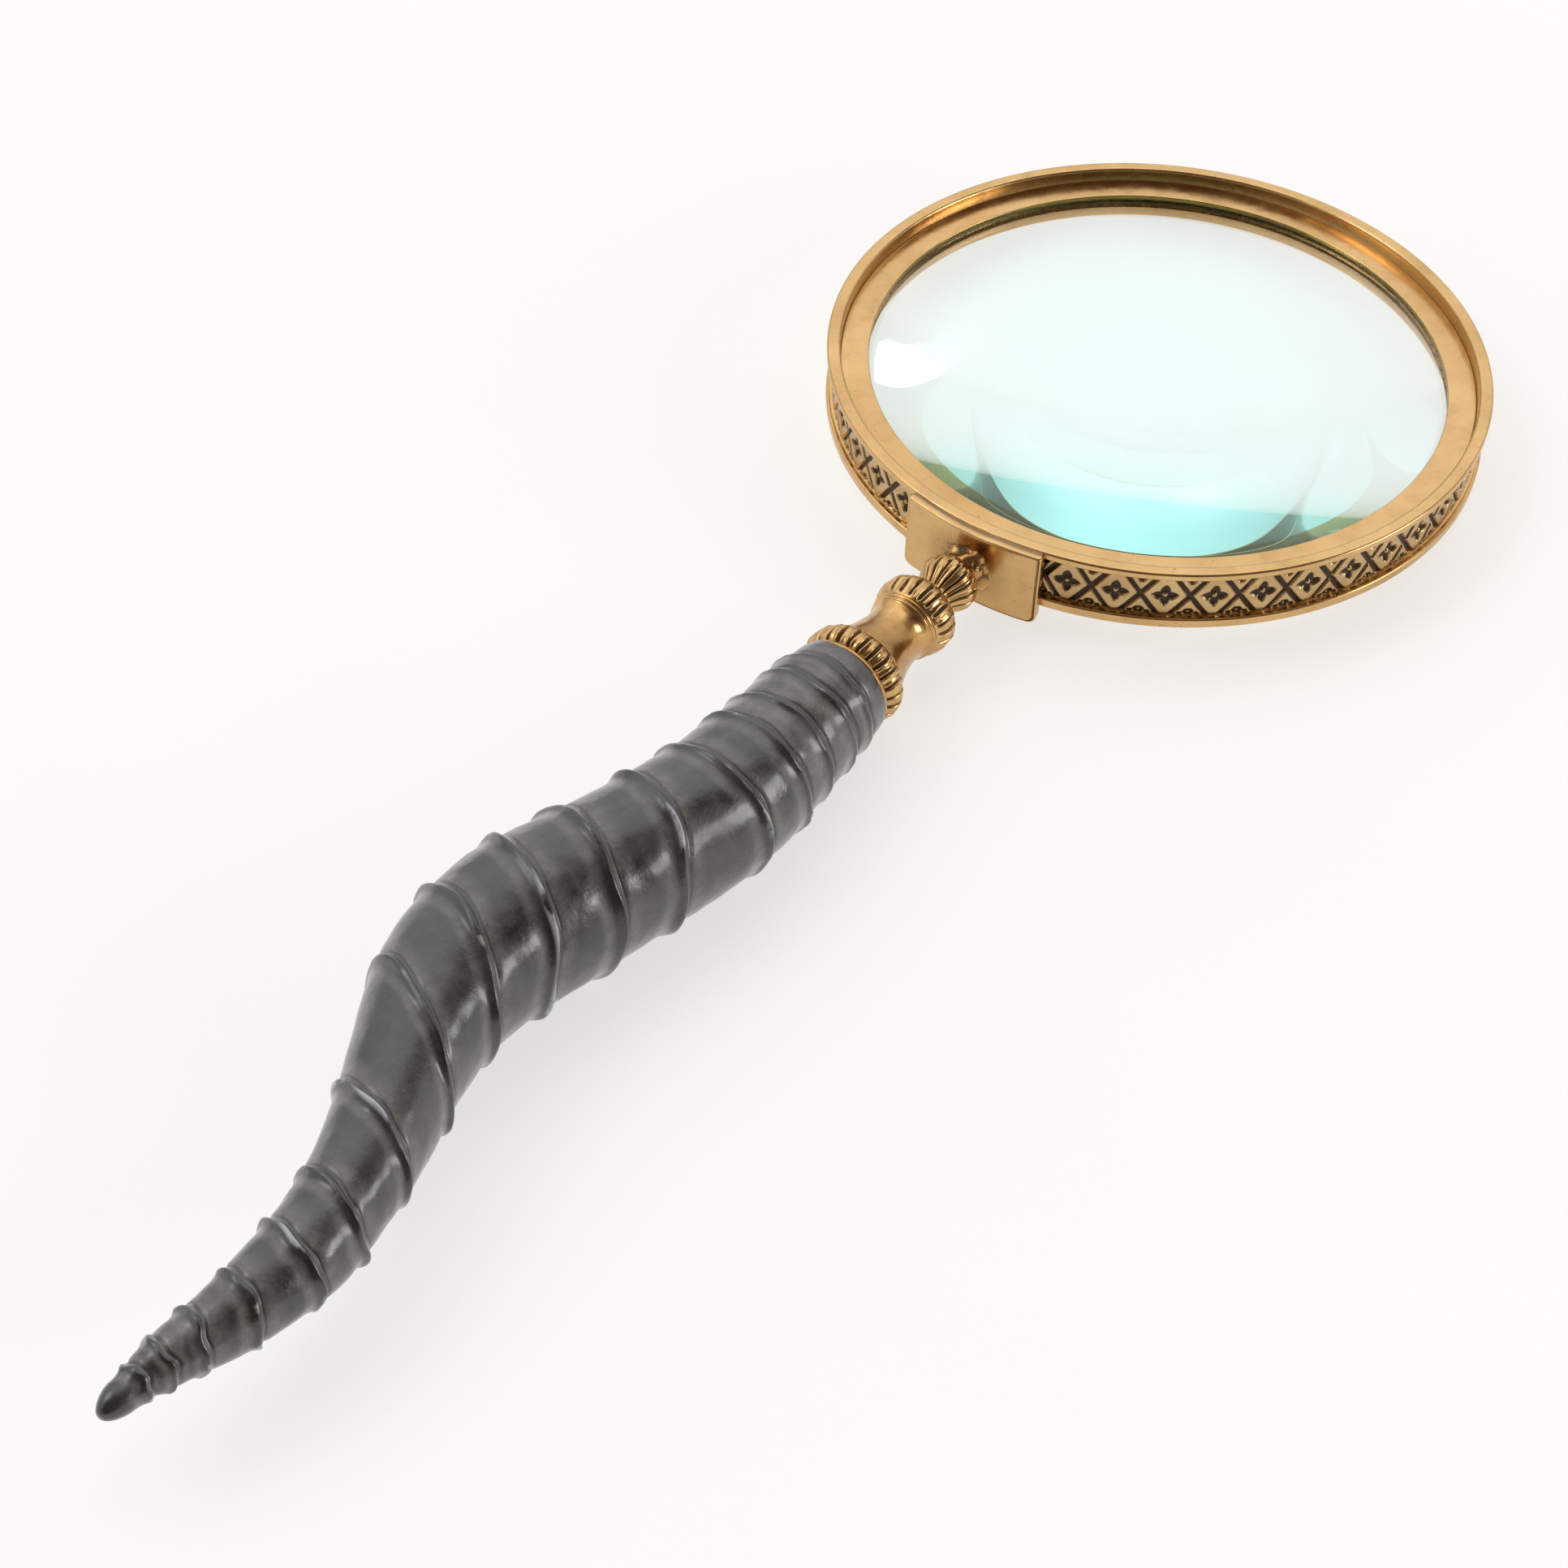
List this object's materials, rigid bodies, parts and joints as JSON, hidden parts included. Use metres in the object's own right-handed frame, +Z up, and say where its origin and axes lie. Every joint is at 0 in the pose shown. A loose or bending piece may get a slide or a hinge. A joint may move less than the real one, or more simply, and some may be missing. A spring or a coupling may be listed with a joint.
{
  "type": "magnifying glass",
  "caption": "Hand-held reading lens in a decorated brass ring, with a fluted brass neck and a dark horn-shaped handle.",
  "frame": {"origin": "on the table under the middle of the object's box, on the neck's centre line", "axes": "+Z up as it lies on a table, the handle runs towards -X and the lens is at +X"},
  "size_m": [0.2998, 0.11, 0.0251],
  "materials": {
    "satin_brass": "satin, lightly aged",
    "polished_brass": "polished, lightly aged",
    "fluted_brass": "polished lobes with darkened grooves",
    "blackened_brass": "pressed relief, polished high parts and blackened recesses",
    "plain_brass": "as turned",
    "lens_glass": "polished, faint aqua tint",
    "dark_horn": "satin cast resin with dusty grey grooves",
    "rod_steel": "plain"
  },
  "bodies": {
    "root": {"bezel_ring": "satin_brass", "gallery_strip": "blackened_brass", "retaining_ring": "satin_brass", "lens": "lens_glass", "saddle_plate": "satin_brass", "neck_foot": "polished_brass", "small_bead": "fluted_brass", "large_bead": "fluted_brass", "neck_barrel": "polished_brass", "ribbed_collar": "fluted_brass", "end_flange": "polished_brass", "horn_handle": "dark_horn", "tie_rod": "rod_steel", "handle_insert": "plain_brass"}
  },
  "joints": []
}
